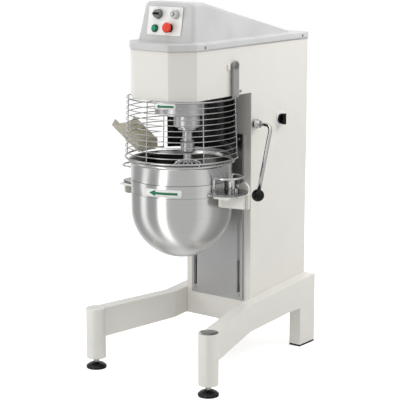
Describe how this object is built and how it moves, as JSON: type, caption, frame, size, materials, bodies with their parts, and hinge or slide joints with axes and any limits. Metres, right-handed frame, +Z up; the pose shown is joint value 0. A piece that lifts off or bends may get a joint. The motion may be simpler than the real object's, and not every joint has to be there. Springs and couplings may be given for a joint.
{
  "type": "commercial stand mixer",
  "caption": "Floor-standing planetary mixer with a lever-lifted steel bowl, wire whisk, swing-up wire guard with a filling chute, and a hooded head on a splayed base.",
  "frame": {"origin": "on the floor, under the centre of the overall footprint", "axes": "+Z up, the controls and bowl face -Y, +X is the side with the hand lever"},
  "size_m": [0.652, 0.882, 1.4748],
  "materials": {
    "ivory_paint": "smooth light ivory powder coat, semi-gloss",
    "guard_paint": "light grey paint on the guard's side arms",
    "hood_plastic": "moulded light grey cover, satin gloss",
    "chute_steel": "folded stainless sheet, satin",
    "panel_steel": "satin stainless sheet, vertical grain",
    "bowl_steel": "spun stainless bowl, satin with a circular grain",
    "polished_steel": "polished stainless rod and sheet",
    "dark_sheet": "smoked dark sheet with a mirror gloss",
    "aluminium": "turned and polished aluminium casting",
    "zinc_steel": "zinc-plated steel",
    "cast_iron": "machined grey iron, oiled",
    "motor_paint": "blue-grey motor enamel",
    "rubber": "black rubber",
    "black_plastic": "black phenolic and nylon",
    "grey_plastic": "grey knob plastic",
    "white_plastic": "white plastic plate and knob",
    "green_plastic": "green push-button",
    "red_plastic": "red mushroom button",
    "plate_film": "light grey printed control plate"
  },
  "bodies": {
    "frame": {"side_beams": "ivory_paint", "front_legs": "ivory_paint", "leg_caps": "polished_steel", "foot_studs": "zinc_steel", "foot_pads": "rubber", "column_shell": "ivory_paint", "head_shell": "ivory_paint", "rear_cover": "ivory_paint", "cover_screws": "zinc_steel", "top_cover": "hood_plastic", "control_plate": "plate_film", "control_bezels": "black_plastic", "front_panel": "panel_steel", "guide_rods": "polished_steel", "rod_brackets": "cast_iron", "gear_bearings": "cast_iron", "head_housing": "cast_iron", "main_bearings": "polished_steel", "ring_gear": "cast_iron", "motor": "motor_paint", "drive_belt": "rubber", "splash_guard": "dark_sheet", "pivot_bolts": "zinc_steel", "switch_plate": "white_plastic", "cable_gland": "black_plastic"},
    "timer": {"timer_knob": "grey_plastic"},
    "selector": {"selector_knob": "white_plastic"},
    "start": {"start_button": "green_plastic"},
    "stop": {"stop_button": "red_plastic"},
    "switch": {"main_switch": "black_plastic"},
    "motor_rotor": {"motor_pulley": "cast_iron"},
    "carrier": {"input_shaft": "zinc_steel", "drive_pulley": "cast_iron", "planet_disc": "aluminium", "gearbox_case": "aluminium"},
    "whisk": {"planet_shaft": "polished_steel", "coupling_collar": "polished_steel", "coupling_seal": "rubber", "whisk_hub": "aluminium", "whisk_wires": "polished_steel"},
    "visor": {"guard_cage": "polished_steel", "visor_arms": "guard_paint", "ingredient_chute": "chute_steel", "guard_label": "white_plastic"},
    "lift": {"carriage": "cast_iron", "lift_rack": "zinc_steel", "bowl_yoke": "ivory_paint", "locating_pins": "polished_steel", "bowl": "bowl_steel", "bowl_ears": "bowl_steel", "bowl_handles": "polished_steel", "bowl_label": "white_plastic"},
    "clamp_l": {"clamp_left": "zinc_steel"},
    "clamp_r": {"clamp_right": "zinc_steel"},
    "lever": {"lever_shaft": "zinc_steel", "sector_gear": "cast_iron", "lever_arm": "polished_steel", "lever_knob": "black_plastic"},
    "cluster": {"cluster_gear": "cast_iron"},
    "lifter": {"lift_gear": "cast_iron"}
  },
  "joints": [
    {"name": "guard_swing", "type": "hinge", "parent": "frame", "child": "visor", "pos_m": [0, -0.082, 1.229], "axis": [1, 0, 0], "range_deg": [-75, 0]},
    {"name": "bowl_lift", "type": "slide", "parent": "frame", "child": "lift", "axis": [0, 0, 1], "range_m": [-0.35185, 0]},
    {"name": "lever_turn", "type": "hinge", "parent": "frame", "child": "lever", "pos_m": [0.163, 0.061, 0.984], "axis": [1, 0, 0], "range_deg": [0, 84]},
    {"name": "cluster_spin", "type": "hinge", "parent": "frame", "child": "cluster", "pos_m": [0, 0.205, 0.984], "axis": [1, 0, 0], "range_deg": [-420, 0]},
    {"name": "lift_gear_spin", "type": "hinge", "parent": "frame", "child": "lifter", "pos_m": [0, 0.205, 0.888], "axis": [1, 0, 0], "range_deg": [0, 420]},
    {"name": "clamp_left_turn", "type": "hinge", "parent": "lift", "child": "clamp_l", "pos_m": [-0.258, -0.19, 0.752], "axis": [0, 0, 1], "range_deg": [-90, 0]},
    {"name": "clamp_right_turn", "type": "hinge", "parent": "lift", "child": "clamp_r", "pos_m": [0.258, -0.19, 0.752], "axis": [0, 0, 1], "range_deg": [0, 90]},
    {"name": "planet_turn", "type": "hinge", "parent": "frame", "child": "carrier", "pos_m": [0, -0.2, 1.1], "axis": [0, 0, 1], "continuous": true},
    {"name": "whisk_spin", "type": "hinge", "parent": "carrier", "child": "whisk", "pos_m": [0.04556, -0.21934, 0.95], "axis": [0, 0, 1], "continuous": true},
    {"name": "motor_spin", "type": "hinge", "parent": "frame", "child": "motor_rotor", "pos_m": [0, 0.33, 1.308], "axis": [0, 0, 1], "continuous": true},
    {"name": "timer_turn", "type": "hinge", "parent": "frame", "child": "timer", "pos_m": [-0.04, -0.2871, 1.42931], "axis": [0, -0.9854, 0.1702], "range_deg": [-300, 0]},
    {"name": "selector_turn", "type": "hinge", "parent": "frame", "child": "selector", "pos_m": [0.043, -0.28693, 1.43029], "axis": [0, -0.9854, 0.1702], "range_deg": [-60, 60]},
    {"name": "start_press", "type": "slide", "parent": "frame", "child": "start", "axis": [0, 0.9854, -0.1702], "range_m": [0, 0.003], "stiffness_N_per_m": 800},
    {"name": "stop_press", "type": "slide", "parent": "frame", "child": "stop", "axis": [0, 0.9854, -0.1702], "range_m": [0, 0.005], "stiffness_N_per_m": 600},
    {"name": "main_switch_turn", "type": "hinge", "parent": "frame", "child": "switch", "pos_m": [0.163, 0.241, 0.984], "axis": [1, 0, 0], "range_deg": [0, 90]}
  ],
  "couplings": [
    {"joint": "lever_turn", "follows": "bowl_lift", "rad_per_m": -4.1667},
    {"joint": "cluster_spin", "follows": "bowl_lift", "rad_per_m": 20.833},
    {"joint": "lift_gear_spin", "follows": "bowl_lift", "rad_per_m": -20.833},
    {"joint": "whisk_spin", "follows": "planet_turn", "ratio": -2.8333},
    {"joint": "motor_spin", "follows": "planet_turn", "ratio": 3.1429}
  ]
}
